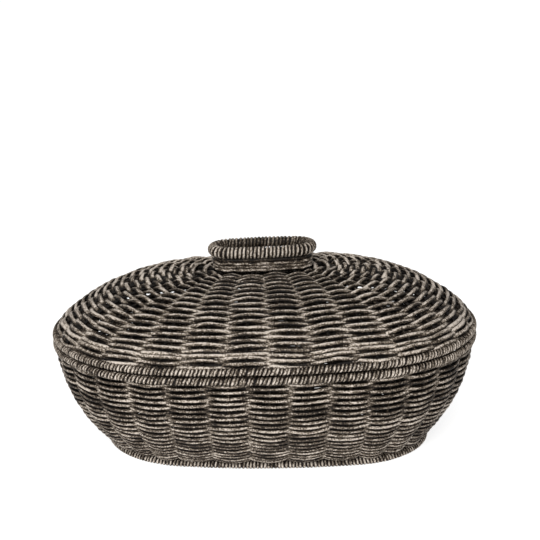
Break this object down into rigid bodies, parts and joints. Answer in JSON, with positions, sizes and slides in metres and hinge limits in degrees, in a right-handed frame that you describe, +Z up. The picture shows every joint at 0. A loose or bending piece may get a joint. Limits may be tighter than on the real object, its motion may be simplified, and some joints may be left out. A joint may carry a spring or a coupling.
{
  "type": "lidded oval wicker basket",
  "caption": "Oval woven rattan storage basket with flared sides, wrapped rims and foot, and a domed lift-off lid with a wrapped ring handle.",
  "frame": {"origin": "middle of the foot, on the surface that the basket stands on", "axes": "+X along the basket's length, +Y along its width, +Z up; the basket is symmetric about the X and Y planes"},
  "size_m": [0.4, 0.28, 0.19],
  "materials": {
    "rattan_rod": "dry round rattan with a worn grey-brown wash",
    "rattan_weave": "round rattan core strands with a worn grey-brown wash",
    "cane_wrap": "flat cane wound close, worn grey-brown wash"
  },
  "bodies": {
    "basket": {"foot_hoop": "rattan_rod", "foot_binding": "cane_wrap", "base_cross_rods": "rattan_rod", "base_spine_rods": "rattan_rod", "base_weave": "rattan_weave", "body_stakes": "rattan_rod", "body_weave_lower": "rattan_weave", "body_weave_middle": "rattan_weave", "body_weave_upper": "rattan_weave", "body_rim_hoop": "rattan_rod", "body_rim_binding": "cane_wrap"},
    "lid": {"lid_rim_hoop": "rattan_rod", "lid_rim_binding": "cane_wrap", "lid_locating_hoop": "rattan_rod", "lid_hoop_lashings": "cane_wrap", "lid_stakes": "rattan_rod", "lid_short_stakes": "rattan_rod", "lid_weave_crown": "rattan_weave", "lid_weave_shoulder": "rattan_weave", "lid_weave_edge": "rattan_weave", "neck_coils": "rattan_weave", "handle_hoop": "rattan_rod", "handle_binding": "cane_wrap"}
  },
  "joints": [
    {"name": "lid_lift", "type": "slide", "parent": "basket", "child": "lid", "axis": [0, 0, 1], "range_m": [0, 0.14]}
  ]
}
